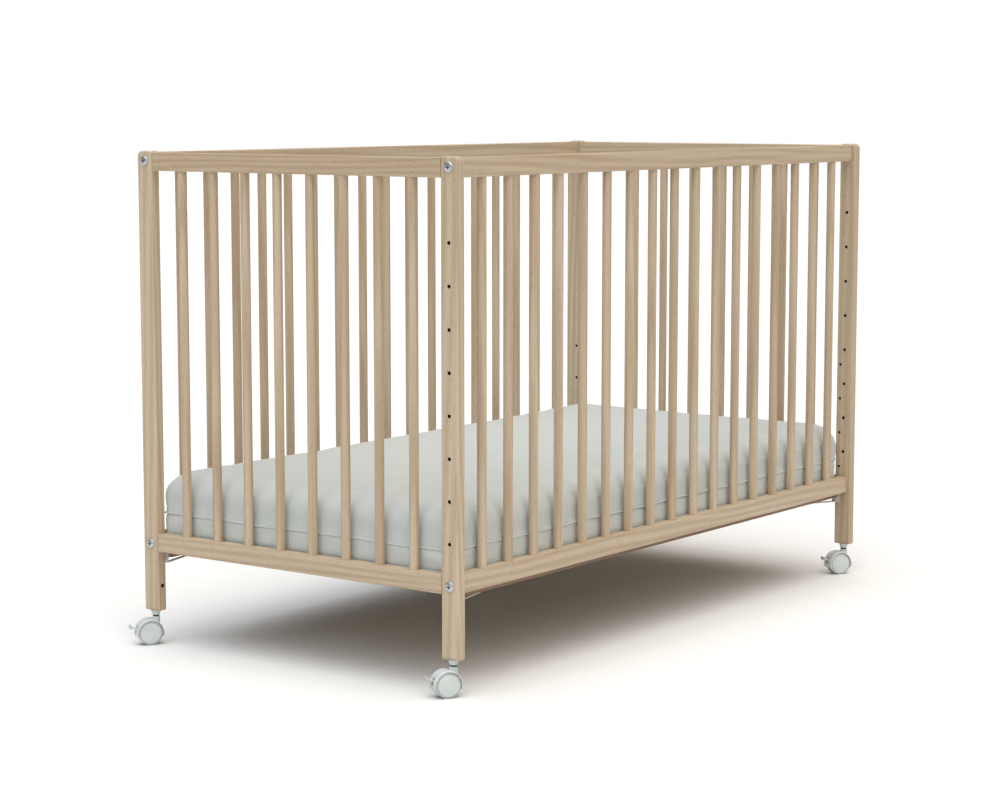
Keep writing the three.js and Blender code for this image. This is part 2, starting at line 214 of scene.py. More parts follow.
weave = {
    "topFrom": 0.72, "wobble": 2.2 * mm, "wobbleScale": 60, "weftPitch": 0.8, "weftHigh": 0.25,
    "mottleScale": 22, "gritScale": 900, "gritHigh": 0.5, "fullTurn": 6.28318,
}


# Ribs are a sine of the way across a face, which is X, or Y on the mattress's ends, with a little wobble; the
# weft is a sine of the height, and the mottle is slow noise.
def makeRibbedCloth():
    tree, start, end = newGroup("ribbedCloth", [("Vector", "Vector"), ("Pitch", "Float")],
                                ["Rib", "Mottle", "Height"])
    place = start.outputs["Vector"]
    axes = addNode(tree, "SeparateXYZ", {0: place}).outputs
    facing = addNode(tree, "SeparateXYZ", {0: addNode(tree, "NewGeometry").outputs["Normal"]}).outputs
    endFace = maths(tree, "GREATER_THAN", maths(tree, "ABSOLUTE", facing["X"]),
                    maths(tree, "ABSOLUTE", facing["Y"]))
    onTop = maths(tree, "GREATER_THAN", maths(tree, "ABSOLUTE", facing["Z"]), weave["topFrom"])
    endFace = maths(tree, "MULTIPLY", endFace, maths(tree, "SUBTRACT", 1.0, onTop))
    across = addNode(tree, "Mix", {0: endFace, 2: axes["X"], 3: axes["Y"]}, data_type="FLOAT").outputs[0]
    wobble = noise(tree, place, weave["wobbleScale"], 2)
    across = maths(tree, "ADD", across, maths(tree, "MULTIPLY", wobble, weave["wobble"]))
    phase = maths(tree, "DIVIDE", across, start.outputs["Pitch"])
    rib = remap(tree, maths(tree, "SINE", maths(tree, "MULTIPLY", phase, weave["fullTurn"])), -1.0, 1.0)
    weftPitch = maths(tree, "MULTIPLY", start.outputs["Pitch"], weave["weftPitch"])
    along = maths(tree, "DIVIDE", axes["Z"], weftPitch)
    weft = remap(tree, maths(tree, "SINE", maths(tree, "MULTIPLY", along, weave["fullTurn"])), -1.0, 1.0)
    mottle = noise(tree, place, weave["mottleScale"], 4, 0.6)
    grit = noise(tree, place, weave["gritScale"], 2)
    height = maths(tree, "ADD", rib, maths(tree, "MULTIPLY", weft, weave["weftHigh"]))
    height = maths(tree, "ADD", height, maths(tree, "MULTIPLY", grit, weave["gritHigh"]))
    return putOut(tree, end, {"Rib": rib, "Mottle": mottle, "Height": height})


wear = {
    "cloudScale": 0.05, "cloudRange": (0.35, 0.65), "gritScale": 2.0, "scratchStretch": (1.0, 0.05, 0.3),
    "scratchRange": (0.7, 0.76), "scratchDeep": 0.6, "scratchPale": 0.12, "scratchRough": 0.15,
}


# Clouds are slow noise, scratches the peaks of a noise stretched along one way, and the height is fine grit
# with the scratches cut into it.
def makeFinishWear():
    tree, start, end = newGroup("finishWear", [("Vector", "Vector"), ("Scale", "Float")],
                                ["Cloud", "Scratch", "Height"])
    place, scale = start.outputs["Vector"], start.outputs["Scale"]
    cloud = noise(tree, place, maths(tree, "MULTIPLY", scale, wear["cloudScale"]), 3)
    lines = noise(tree, stretched(tree, place, wear["scratchStretch"]), scale, 2)
    scratch = remap(tree, lines, *wear["scratchRange"])
    grit = noise(tree, place, maths(tree, "MULTIPLY", scale, wear["gritScale"]), 2)
    height = maths(tree, "SUBTRACT", grit, maths(tree, "MULTIPLY", scratch, wear["scratchDeep"]))
    return putOut(tree, end, {"Cloud": cloud, "Scratch": scratch, "Height": height})


beechGrain = makeBeechGrain()
ribbedCloth = makeRibbedCloth()
finishWear = makeFinishWear()


beech = {
    "pale": (202, 184, 158), "mid": (190, 169, 141), "brown": (157, 128, 99), "fleck": (112, 80, 54),
    # bore is painted shade: a near-black brown laid on the walls of drilled holes
    "bore": (38, 27, 19), "fleckSize": 1050.0, "streakRange": (0.4, 0.68),
    "streakMost": 0.5, "fleckMost": 0.36, "rough": (0.42, 0.58), "bumpDeep": 0.12 * mm,
    "shader": {"Coat Weight": 0.12, "Coat Roughness": 0.35},
}
# Darker tones for the battens: painted shade, a shaded copy of the beech for wood that lies in shadow under
# the bottom rails.
batten = {"pale": (150, 116, 87), "mid": (136, 102, 75), "brown": (106, 76, 52), "fleck": (84, 58, 39)}


# Lacquered beech with its grain along one axis: tone mixes pale and mid, streaks and flecks go brown, and
# the walls of drilled holes get painted shade, a near-black brown.
def makeBeech(axis, name="beech", tones=beech):
    material, tree, shader = newMaterial(f"{name}_along_{axis}", **beech["shader"])
    place = addNode(tree, "TexCoord").outputs["Object"]
    part = addNode(tree, "SeparateXYZ", {0: place}).outputs
    order = {"x": "YZX", "y": "ZXY", "z": "XYZ"}[axis]
    turned = addNode(tree, "CombineXYZ", {i: part[letter] for i, letter in enumerate(order)}).outputs[0]
    wood = useGroup(tree, beechGrain, {"Vector": turned, "Fleck Size": beech["fleckSize"]})
    tone = remap(tree, wood["Tone"], *usualNoise)
    colour = mixColour(tree, tone, linear(*tones["pale"]), linear(*tones["mid"]))
    streak = remap(tree, wood["Streak"], *beech["streakRange"], 0.0, beech["streakMost"])
    colour = mixColour(tree, streak, colour, linear(*tones["brown"]))
    fleck = maths(tree, "MULTIPLY", wood["Fleck"], beech["fleckMost"])
    colour = mixColour(tree, fleck, colour, linear(*tones["fleck"]))
    # painted shade: faces marked inside drilled holes are mixed to near-black
    bore = addNode(tree, "Attribute", attribute_name="bore").outputs["Fac"]
    colour = mixColour(tree, bore, colour, linear(*beech["bore"]))
    tree.links.new(colour, shader.inputs["Base Color"])
    tree.links.new(remap(tree, wood["Streak"], *usualNoise, *beech["rough"]), shader.inputs["Roughness"])
    tree.links.new(bumped(tree, wood["Height"], beech["bumpDeep"]), shader.inputs["Normal"])
    return material


cover = {
    # lower is a lighter colour mixed in below the seam: painted light that evens out the shade where the
    # bottom rail shades the cover
    "light": (196, 200, 197), "shade": (183, 189, 186), "lower": (211, 215, 212), "pitch": 4.2 * mm,
    "ribMost": 0.45, "mottleRange": (0.4, 0.7), "mottleMost": 0.25, "lowerMost": 0.5, "lowerOver": 4 * mm,
    "rough": (0.85, 0.97), "bumpDeep": 0.35 * mm,
    "shader": {"Sheen Weight": 0.15, "Sheen Roughness": 0.5, "Specular IOR Level": 0.2},
}


def makeCover():  # ribs and mottle darken the cloth a little; below the seam it is mixed towards a lighter colour, painted light against the shade there
    material, tree, shader = newMaterial("mattress_cover", **cover["shader"])
    place = addNode(tree, "TexCoord").outputs["Object"]
    cloth = useGroup(tree, ribbedCloth, {"Vector": place, "Pitch": cover["pitch"]})
    rib = remap(tree, cloth["Rib"], 0.0, 1.0, 0.0, cover["ribMost"])
    colour = mixColour(tree, rib, linear(*cover["light"]), linear(*cover["shade"]))
    mottle = remap(tree, cloth["Mottle"], *cover["mottleRange"], 0.0, cover["mottleMost"])
    colour = mixColour(tree, mottle, colour, linear(*cover["shade"]))
    height = addNode(tree, "SeparateXYZ", {0: place}).outputs["Z"]
    seam = boxOf("mattress")[0][2] + mattress["seamUp"]
    # painted light: below the seam the colour goes towards the lighter lower colour, to even out the shade
    # there
    lower = remap(tree, height, seam - cover["lowerOver"], seam, cover["lowerMost"], 0.0)
    colour = mixColour(tree, lower, colour, linear(*cover["lower"]))
    tree.links.new(colour, shader.inputs["Base Color"])
    tree.links.new(remap(tree, cloth["Mottle"], *usualNoise, *cover["rough"]), shader.inputs["Roughness"])
    tree.links.new(bumped(tree, cloth["Height"], cover["bumpDeep"]), shader.inputs["Normal"])
    return material


nylon = {
    "light": (212, 218, 216), "shade": (202, 209, 207), "rough": (0.28, 0.4),
    "scale": 900, "bumpDeep": 0.03 * mm,
    "shader": {"Subsurface Weight": 0.08, "Subsurface Scale": 3 * mm},
}
zinc = {
    "light": (205, 208, 210), "shade": (184, 189, 193), "rough": (0.32, 0.48),
    "scale": 1600, "bumpDeep": 0.02 * mm,
    "shader": {"Metallic": 0.75},
}
steel = {
    "light": (104, 110, 112), "shade": (82, 88, 90), "rough": (0.3, 0.45),
    "scale": 1600, "bumpDeep": 0.02 * mm,
    "shader": {"Metallic": 0.9},
}
lacquer = {
    "light": (218, 218, 215), "shade": (208, 208, 204), "rough": (0.35, 0.5),
    "scale": 700, "bumpDeep": 0.04 * mm,
    "shader": {"Coat Weight": 0.3},
}


# Plastic, lacquer or plating: two close tones mixed by the clouds, and scratches that are paler and rougher.
def makeHardFinish(name, finish):
    material, tree, shader = newMaterial(name, **finish["shader"])
    place = addNode(tree, "TexCoord").outputs["Object"]
    worn = useGroup(tree, finishWear, {"Vector": place, "Scale": finish["scale"]})
    cloud = remap(tree, worn["Cloud"], *wear["cloudRange"])
    colour = mixColour(tree, cloud, linear(*finish["light"]), linear(*finish["shade"]))
    scratch = maths(tree, "MULTIPLY", worn["Scratch"], wear["scratchPale"])
    colour = mixColour(tree, scratch, colour, white)
    tree.links.new(colour, shader.inputs["Base Color"])
    rough = maths(tree, "ADD", remap(tree, worn["Cloud"], *usualNoise, *finish["rough"]),
                  maths(tree, "MULTIPLY", worn["Scratch"], wear["scratchRough"]))
    tree.links.new(rough, shader.inputs["Roughness"])
    tree.links.new(bumped(tree, worn["Height"], finish["bumpDeep"]), shader.inputs["Normal"])
    return material


beechX, beechY, beechZ = (makeBeech(axis) for axis in "xyz")
# painted shade: the battens get the darker, shaded copy of the beech
shadedBattenWood = makeBeech("x", "batten", batten)
whiteNylon = makeHardFinish("white_nylon", nylon)
zincPlate = makeHardFinish("zinc_plate", zinc)
darkNeck = makeHardFinish("steel_neck", steel)
whiteLacquer = makeHardFinish("white_lacquer", lacquer)
print("finishes made,", len(bpy.data.materials))


# Rounded rectangle, anticlockwise from +A: a quarter circle at each corner, and a point a lip away from each
# end of it, which keeps the shading of the flats clean.
def roundedOutline(halfA, halfB, radii, steps=5, lip=0.4 * mm):
    radii = np.broadcast_to(radii, 4)[:, None]
    turn = np.linspace(0, np.pi / 2, steps + 1)[None] + np.arange(4)[:, None] * np.pi / 2
    side = np.array([[1, 1], [-1, 1], [-1, -1], [1, -1]])
    centre = side * (np.array([halfA, halfB]) - radii)
    way = np.stack([np.cos(turn), np.sin(turn)], -1)
    arc = centre[:, None] + radii[:, :, None] * way
    tangent = np.stack([-way[..., 1], way[..., 0]], -1)
    return np.concatenate([arc[:, :1] - lip * tangent[:, :1], arc, arc[:, -1:] + lip * tangent[:, -1:]],
                          1).reshape(-1, 2)


def circleOutline(radius, count):  # points evenly round a circle
    turn = np.arange(count) * 2 * np.pi / count
    return radius * np.stack([np.cos(turn), np.sin(turn)], -1)


# For each point of a closed outline, the way out: the sum of its two edges' normals over one plus their dot
# product, which is long enough to keep both edges parallel when the point moves.
def outwards(outline):
    edge = np.roll(outline, -1, 0) - outline
    edge /= np.linalg.norm(edge, axis=1)[:, None]
    after = np.stack([edge[:, 1], -edge[:, 0]], -1)
    before = np.roll(after, 1, 0)
    return (before + after) / (1 + (before * after).sum(1))[:, None]


# A solid of rings: ring k is the outline moved in by insets[k], at heights[k], and flat ends close it.
def stack(outline, heights, insets):
    outline = np.asarray(outline, float)
    following = np.roll(outline, -1, 0)
    if (outline[:, 0] * following[:, 1] - outline[:, 1] * following[:, 0]).sum() < 0:
        outline = outline[::-1]
    flat = outline[None] - np.asarray(insets)[:, None, None] * outwards(outline)[None]
    height = np.broadcast_to(np.asarray(heights)[:, None, None], (*flat.shape[:2], 1))
    return closedRings(np.concatenate([flat, height], -1))


def closedRings(rings):  # each ring is joined to the next by quads, and the first and last are filled
    count = rings.shape[1]
    first = np.arange(rings.shape[0] - 1)[:, None] * count + np.arange(count)[None]
    second = np.arange(rings.shape[0] - 1)[:, None] * count + (np.arange(count)[None] + 1) % count
    quads = np.stack([first, second, second + count, first + count], -1).reshape(-1, 4).tolist()
    last = (rings.shape[0] - 1) * count
    ends = [list(range(count))[::-1], list(range(last, last + count))]
    return rings.reshape(-1, 3), quads + ends


# The outline given a thickness, its rims rounded: height and inset follow a quarter circle at each end.
def slab(outline, half, edge, steps=4, lip=0.4 * mm):
    turn = np.linspace(0, np.pi / 2, steps + 1)
    height = np.concatenate([[half - edge - lip], half - edge + edge * np.sin(turn), [half]])
    inset = np.concatenate([[0], edge * (1 - np.cos(turn)), [edge + lip]])
    return stack(outline, np.concatenate([-height[::-1], height]), np.concatenate([inset[::-1], inset]))


def revolve(profile, count):  # a profile point, radius and height, becomes a ring round the third axis
    profile = np.asarray(profile, float)
    turn = np.arange(count) * 2 * np.pi / count
    flat = profile[:, 0, None, None] * np.stack([np.cos(turn), np.sin(turn)], -1)[None]
    height = np.broadcast_to(profile[:, 1, None, None], (*flat.shape[:2], 1))
    return closedRings(np.concatenate([flat, height], -1))


def laid(shape, axis, centre):  # turned so that the thickness lies along one axis, with its middle at centre
    points, faces = shape
    order = {"x": (2, 0, 1), "y": (1, 2, 0), "z": (0, 1, 2)}[axis]
    return points[:, order] + np.asarray(centre), faces


def together(*shapes):  # several shapes as one, each one's faces counted on from the last
    points, faces, count = [], [], 0
    for shapePoints, shapeFaces in shapes:
        points.append(shapePoints)
        faces += [[i + count for i in face] for face in shapeFaces]
        count += len(shapePoints)
    return np.concatenate(points), faces


def smooth(mesh, sharpAngle):  # smooth shading, broken where an edge is sharper than the angle
    mesh.polygons.foreach_set("use_smooth", np.ones(len(mesh.polygons), bool))
    mesh.set_sharp_from_angle(angle=sharpAngle)


def makeObject(name, shape, sharpAngle=sharpWood):
    mesh = bpy.data.meshes.new(name)
    mesh.from_pydata(shape[0].tolist(), [], shape[1])
    smooth(mesh, sharpAngle)
    piece = bpy.data.objects.new(name, mesh)
    scene.collection.objects.link(piece)
    return piece


def makePiece(name, shape, material, body, replaced=(), sharpAngle=sharpWood):
    piece = shape if isinstance(shape, bpy.types.Object) else makeObject(name, shape, sharpAngle)
    piece.data.materials.clear()
    piece.data.materials.append(material)
    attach(piece, body)
    if replaced:
        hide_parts(*replaced)


def verticesOf(piece):
    points = np.empty(len(piece.data.vertices) * 3)
    piece.data.vertices.foreach_get("co", points)
    return points.reshape(-1, 3)


def applied(piece, sharpAngle=sharpWood):  # makes the modified mesh the piece's own
    view = bpy.context.evaluated_depsgraph_get()
    finished = bpy.data.meshes.new_from_object(piece.evaluated_get(view))
    piece.modifiers.clear()
    piece.data = finished
    smooth(finished, sharpAngle)


# Solids are joined on first, and then others are cut out.
def carved(name, shape, cutters=(), added=(), sharpAngle=sharpWood):
    piece = makeObject(name, shape)
    helpers = []
    for operation, shapes in (("UNION", added), ("DIFFERENCE", cutters)):
        for other in shapes:
            helper = makeObject(name + "_tool", other)
            helpers.append(helper)
            change = piece.modifiers.new("carve", "BOOLEAN")
            change.operation = operation
            change.solver = "EXACT"
            change.object = helper
    applied(piece, sharpAngle)
    for helper in helpers:
        bpy.data.objects.remove(helper)
    return piece


post = {
    "edge": 2.6 * mm, "crown": 9 * mm, "innerTop": 3.5 * mm, "foot": 2.5 * mm,
    "holeRadius": 3.0 * mm, "holeCount": 8, "holeFirst": 127.5 * mm, "holePitch": 64.55 * mm,
    "pinRadius": 2.6 * mm, "pinIn": 24.2 * mm, "pinDepth": 11 * mm, "pinCount": 5, "pinFirst": 414.1 * mm,
    "nutRadius": 3.5 * mm, "nutUp": 41.9 * mm, "nutDepth": 12 * mm,
    "boltRadius": 3.3 * mm, "boltDrops": (16 * mm, 644 * mm),
    "drillHalf": 20 * mm, "drillEdge": 0.5 * mm, "wallSlack": 1.01, "faceSlack": 0.2 * mm,
}


# Faces inside a drilled hole are marked for painted shade: faces whose middles lie within a hole's radius of
# its axis, and not on the post's own faces.
def markBoreShade(piece, centre, half, pinY, bores, nutZ):
    count = len(piece.data.polygons)
    middles = np.empty(count * 3)
    piece.data.polygons.foreach_get("center", middles)
    middles = middles.reshape(-1, 3)
    radius, height = np.array(bores).T
    near = np.abs(middles[:, 2, None] - height)
    aside = np.minimum(np.abs(middles[:, 1] - centre[1]), np.abs(middles[:, 1] - pinY))
    inside = (np.hypot(near, aside[:, None]) < radius * post["wallSlack"]).any(1)
    inside &= np.abs(middles[:, 0] - centre[0]) < half[0] - post["faceSlack"]
    nut = np.hypot(middles[:, 0] - centre[0], middles[:, 2] - nutZ) < post["nutRadius"] * post["wallSlack"]
    inside |= nut & (np.abs(middles[:, 1] - centre[1]) < half[1] - post["faceSlack"])
    mark = piece.data.attributes.new("bore", "FLOAT", "FACE")
    mark.data.foreach_set("value", inside.astype(np.float32))


def drill(radius, sides, half):  # a round cutter
    return slab(circleOutline(radius, sides), half, post["drillEdge"])


def makePosts():  # a rounded side outline given the post's thickness, then drilled
    for corner, sx, sy in corners:
        low, high = boxOf("post_" + corner)
        half = (high - low) / 2
        centre = (high + low) / 2
        top = [post["crown"], post["innerTop"]] if sy > 0 else [post["innerTop"], post["crown"]]
        outline = roundedOutline(half[1], half[2], [*top, post["foot"], post["foot"]])
        blank = laid(slab(outline, half[0], post["edge"], 5), "x", centre)
        through = [(post["boltRadius"], high[2] - drop) for drop in post["boltDrops"]]
        if sy < 0:
            through += [(post["holeRadius"], high[2] - post["holeFirst"] - i * post["holePitch"])
                        for i in range(post["holeCount"])]
        pins = [(post["pinRadius"], high[2] - post["pinFirst"] - i * post["holePitch"])
                for i in range(post["pinCount"])]
        inner = centre[0] - sx * half[0]
        pinY = centre[1] + sy * (half[1] - post["pinIn"])
        nutZ = low[2] + post["nutUp"]
        cutters = [laid(drill(radius, 24, post["drillHalf"]), "x", (centre[0], centre[1], z))
                   for radius, z in through]
        cutters += [laid(drill(radius, 20, post["pinDepth"]), "x", (inner, pinY, z)) for radius, z in pins]
        nut = drill(post["nutRadius"], 24, post["nutDepth"])
        cutters.append(laid(nut, "y", (centre[0], centre[1] - sy * half[1], nutZ)))
        piece = carved("post_" + corner + "_wood", blank, [together(*cutters)])
        markBoreShade(piece, centre, half, pinY, through + pins, nutZ)
        makePiece("", piece, beechZ, "frame", ["post_" + corner])
    print("posts made")


rail = {"edge": 1.7 * mm, "endRound": 1.2 * mm, "tall": 30 * mm}
spindle = {
    "radius": 7.5 * mm, "sides": 28, "edge": 1.0 * mm, "into": 9 * mm, "pitch": 67.4 * mm,
    "runs": (("front", "x", 17), ("back", "x", 17), ("left", "y", 8), ("right", "y", 8)),
}


def railShape(low, high, axis):  # the section's rounded rectangle, given the rail's length
    half, centre = (high - low) / 2, (high + low) / 2
    a, b, c = {"x": (1, 2, 0), "y": (2, 0, 1)}[axis]
    outline = roundedOutline(half[a], half[b], rail["edge"])
    return laid(slab(outline, half[c], rail["endRound"], 3), axis, centre)


def makeRails():  # a spindle is a circle given its length, let into the rails above and below
    for side, axis, count in spindle["runs"]:
        wood = beechX if axis == "x" else beechY
        low, high = boxOf("top_rail_" + side)
        makePiece(f"top_rail_{side}_wood", railShape(low, high, axis), wood, "frame",
                  ["top_rail_" + side])
        underside = low[2]
        node = "spindled_rail_" + side
        low, high = boxOf(node)
        high[2] = low[2] + rail["tall"]
        makePiece(f"bottom_rail_{side}_wood", railShape(low, high, axis), wood, "frame", [node])
        centre = (low + high) / 2
        foot, head = high[2] - spindle["into"], underside + spindle["into"]
        bar = slab(circleOutline(spindle["radius"], spindle["sides"]), (head - foot) / 2, spindle["edge"], 2)
        for i in range(count):
            place = np.array([centre[0], centre[1], (head + foot) / 2])
            place["xy".index(axis)] += (i - (count - 1) / 2) * spindle["pitch"]
            makePiece(f"spindle_{side}_{i + 1}", laid(bar, "z", place), beechZ, "frame", [node])
    print("rails and spindles made")


bolt = {
    "radius": 8 * mm, "height": 3.2 * mm, "domeFrom": 0.3, "fullness": 0.8, "rim": 0.6 * mm,
    "rimTurn": 0.12, "tipTurn": 0.05,
    "shank": 3 * mm, "depth": 30 * mm, "slotLong": 3.8 * mm, "slotWide": 1.0 * mm, "slotDeep": 2.7 * mm,
    "slotCorner": 0.4 * mm, "slotEdge": 0.2 * mm, "hollow": 2.1 * mm, "hollowDeeper": 0.4 * mm, "sides": 40,
}


# Head: a low dome on a rolled rim. Round a quarter turn the radius follows the cosine to a power, and the
# height rises with the sine from its domeFrom part. The recess is a cross with a round hollow in its middle.
def boltShape(name):
    radius, height, rim, domeFrom = (bolt[key] for key in ("radius", "height", "rim", "domeFrom"))
    turn = np.linspace(bolt["rimTurn"], np.pi / 2 - bolt["tipTurn"], 9)
    domeHeight = height * (domeFrom + (1 - domeFrom) * np.sin(turn))
    dome = np.stack([radius * np.cos(turn) ** bolt["fullness"], domeHeight], -1)
    foot = [[bolt["shank"], -bolt["depth"]], [bolt["shank"], 0], [radius - rim, 0], [radius, rim]]
    recess = [slab(roundedOutline(*size, bolt["slotCorner"], 2), bolt["slotDeep"], bolt["slotEdge"], 2)
              for size in ((bolt["slotLong"], bolt["slotWide"]), (bolt["slotWide"], bolt["slotLong"]))]
    hollowHalf = bolt["slotDeep"] + bolt["hollowDeeper"]
    recess.append(slab(circleOutline(bolt["hollow"], 20), hollowHalf, bolt["slotEdge"], 2))
    recess = [laid(cutter, "z", (0, 0, height)) for cutter in recess]
    return carved(name, revolve(np.concatenate([foot, dome]), bolt["sides"]), recess, sharpAngle=sharpHard)


def makeBolts():  # one head is carved, and its mesh is turned outwards at each place
    pattern = boltShape("bolt_pattern")
    points = verticesOf(pattern)
    faces = [list(p.vertices) for p in pattern.data.polygons]
    bpy.data.objects.remove(pattern)
    for corner, sx, _ in corners:
        for level in ("upper", "lower"):
            node = f"connector_bolt_{level}_{corner}"
            low, high = boxOf(node)
            centre = (low + high) / 2
            seat = (high[0] if sx > 0 else low[0]) - sx * bolt["height"]
            turned = points[:, (2, 0, 1)] * (sx, sx, 1)
            placed = turned + (seat, centre[1], centre[2])
            makePiece(f"bolt_{level}_{corner}_zinc", (placed, faces), zincPlate, "frame", [node],
                      sharpHard)
    print("bolts made")


base = {"battenEdge": 1.8 * mm, "slatEdge": 1.6 * mm, "endRound": 0.8 * mm, "slats": 9}


def makeBase():  # battens and slats are rounded sections, given their lengths
    for side in ("front", "back"):
        low, high = boxOf("base_batten_" + side)
        half, centre = (high - low) / 2, (high + low) / 2
        outline = roundedOutline(half[1], half[2], base["battenEdge"], 3)
        shape = laid(slab(outline, half[0], base["endRound"], 2), "x", centre)
        makePiece(f"batten_{side}_wood", shape, shadedBattenWood, "base", ["base_batten_" + side])
    for i in range(base["slats"]):
        low, high = boxOf(f"base_slat_{i + 1}")
        half, centre = (high - low) / 2, (high + low) / 2
        outline = roundedOutline(half[2], half[0], base["slatEdge"], 3)
        shape = laid(slab(outline, half[1], base["endRound"], 2), "y", centre)
        makePiece(f"slat_{i + 1}_wood", shape, beechY, "base", [f"base_slat_{i + 1}"])
    print("base made")


bracket = {
    "gap": 0.3 * mm, "plate": 2.1 * mm, "plateCorner": 2 * mm, "edge": 0.5 * mm, "shelf": 145.7 * mm,
    "armWide": 6 * mm, "armThick": 2 * mm, "armFrom": 0.5 * mm, "armReach": 78 * mm, "armDrop": 6.9 * mm,
    "armLip": 0.1 * mm, "pinRadius": 2.3 * mm, "pinHalf": 5 * mm, "pinEdge": 0.4 * mm, "pinUp": 141.7 * mm,
}


# A plate on the post, a pin into it, and a sloping arm: four points of height and distance, given a width.
def makeBrackets():
    for corner, sx, sy in corners:
        node = "base_bracket_" + corner
        low, high = boxOf(node)
        half, centre = (high - low) / 2, (high + low) / 2
        postLow, postHigh = boxOf("post_" + corner)
        face = (postHigh if sx < 0 else postLow)[0] - sx * bracket["gap"]
        inner = low[1] if sy > 0 else high[1]
        shelf, start, reach = bracket["shelf"], bracket["armFrom"], bracket["armReach"]
        under, foot = shelf - bracket["armThick"], shelf - bracket["armDrop"]
        plateHalf = bracket["plate"] / 2
        plate = slab(roundedOutline(half[1], half[2], bracket["plateCorner"]), plateHalf, bracket["edge"])
        plate = laid(plate, "x", (face - sx * plateHalf, centre[1], centre[2]))
        arm = [(under - bracket["armDrop"], start), (under, reach), (shelf, reach), (foot, start)]
        arm = [(z, face - sx * along) for z, along in arm]
        arm = slab(arm, bracket["armWide"] / 2, bracket["edge"], 3, bracket["armLip"])
        arm = laid(arm, "y", (0, inner + sy * bracket["armWide"] / 2, 0))
        pinY = postHigh[1] - post["pinIn"] if sy > 0 else postLow[1] + post["pinIn"]
        pin = slab(circleOutline(bracket["pinRadius"], 24), bracket["pinHalf"], bracket["pinEdge"], 2)
        pin = laid(pin, "x", (face + sx * (bracket["pinHalf"] - plateHalf), pinY, bracket["pinUp"]))
        makePiece(f"bracket_{corner}_steel", together(plate, arm, pin), whiteLacquer, "frame", [node],
                  sharpSteel)
    print("brackets made")


mattress = {
    "proud": 1.4 * mm, "lifted": 0.5 * mm, "corner": 6 * mm, "cornerGrows": 0.5,
    "topRound": 34 * mm, "lowRound": 14 * mm,
    "seamUp": 49.5 * mm, "waist": 2.2 * mm, "waistShare": (0.2, 1, 1, 0.2), "waistAt": (-7, -2, 2, 7),
    "crown": 4 * mm, "pucker": 1.1 * mm, "puckerReach": 45 * mm, "puckerTall": 22 * mm,
    "puckerDeep": 20 * mm, "puckerOften": 620, "puckerSway": 2.5, "puckerSwayOften": 90,
}
filling = {  # the simulation that swells the cover, and how far it may move a point along each axis
    "voxel": 7.5 * mm, "steps": 20, "most": (3.0 * mm, 2.8 * mm, 3.5 * mm),
    "heldOver": 5 * mm, "heldFrom": 0.3,
    "settings": {
        "quality": 5, "mass": 0.3, "tension_stiffness": 15, "compression_stiffness": 15,
        "bending_stiffness": 0.5, "use_pressure": True, "uniform_pressure_force": 4.0, "shrink_min": -0.02,
    },
}
piping = {
    "radius": 1.9 * mm, "squashed": 0.8, "out": 0.2 * mm, "up": 2 * mm, "steps": 700, "sides": 10,
    "waves": ((0.8 * mm, 21, 0), (0.5 * mm, 47, 1)),  # height, how often, and where each starts
}


# Rounded rectangles stacked: the insets follow a small quarter circle below, a slight waist at the seam and
# a full quarter circle on top.
def mattressBlank(low, high):
    half = (high - low)[:2] / 2 + mattress["proud"]
    turn = np.linspace(0, np.pi / 2, 9)
    lowRound, topRound, corner = mattress["lowRound"], mattress["topRound"], mattress["corner"]
    bottom, top, seam = low[2] + mattress["lifted"], high[2] - mattress["crown"], low[2] + mattress["seamUp"]
    waistAt = seam + np.array(mattress["waistAt"]) * mm
    heights = np.concatenate([bottom + lowRound * (1 - np.cos(turn)), waistAt,
                              top - topRound * (1 - np.sin(turn))])
    waist = mattress["waist"] * np.array(mattress["waistShare"])
    insets = np.concatenate([lowRound * (1 - np.sin(turn)), waist, topRound * (1 - np.cos(turn))])
    rings = []
    for inset, height in zip(insets, heights):
        ring = roundedOutline(*(half - inset), corner + mattress["cornerGrows"] * inset, 8)
        rings.append(np.column_stack([ring, np.full(len(ring), height)]))
    middle = (low + high) / 2
    points, faces = closedRings(np.stack(rings))
    outline = roundedOutline(*(half - mattress["waist"]), corner, 8)
    return (points + (middle[0], middle[1], 0), faces), outline, seam


# The cover is blown up as a cloth that is held along its seam, and no point goes further than a soft cap: the
# way it moved, put through tanh.
def swollen(piece, points, seam):
    held = piece.vertex_groups.new(name="seam")
    near = np.exp(-((points[:, 2] - seam) / filling["heldOver"]) ** 2)
    for i in np.flatnonzero(near > filling["heldFrom"]):  # a vertex group takes one weight at a time
        held.add([int(i)], float(near[i]), "REPLACE")
    settings = piece.modifiers.new("fill", "CLOTH").settings
    for key, value in filling["settings"].items():
        setattr(settings, key, value)
    settings.effector_weights.gravity = 0
    settings.vertex_group_mass = "seam"
    for step in range(1, filling["steps"] + 1):
        scene.frame_set(step)
    blown = piece.evaluated_get(bpy.context.evaluated_depsgraph_get()).to_mesh()
    after = np.empty(len(points) * 3)
    blown.vertices.foreach_get("co", after)
    most = np.array(filling["most"])
    points = points + most * np.tanh((after.reshape(-1, 3) - points) / most)
    piece.modifiers.clear()
    scene.frame_set(1)
    return points


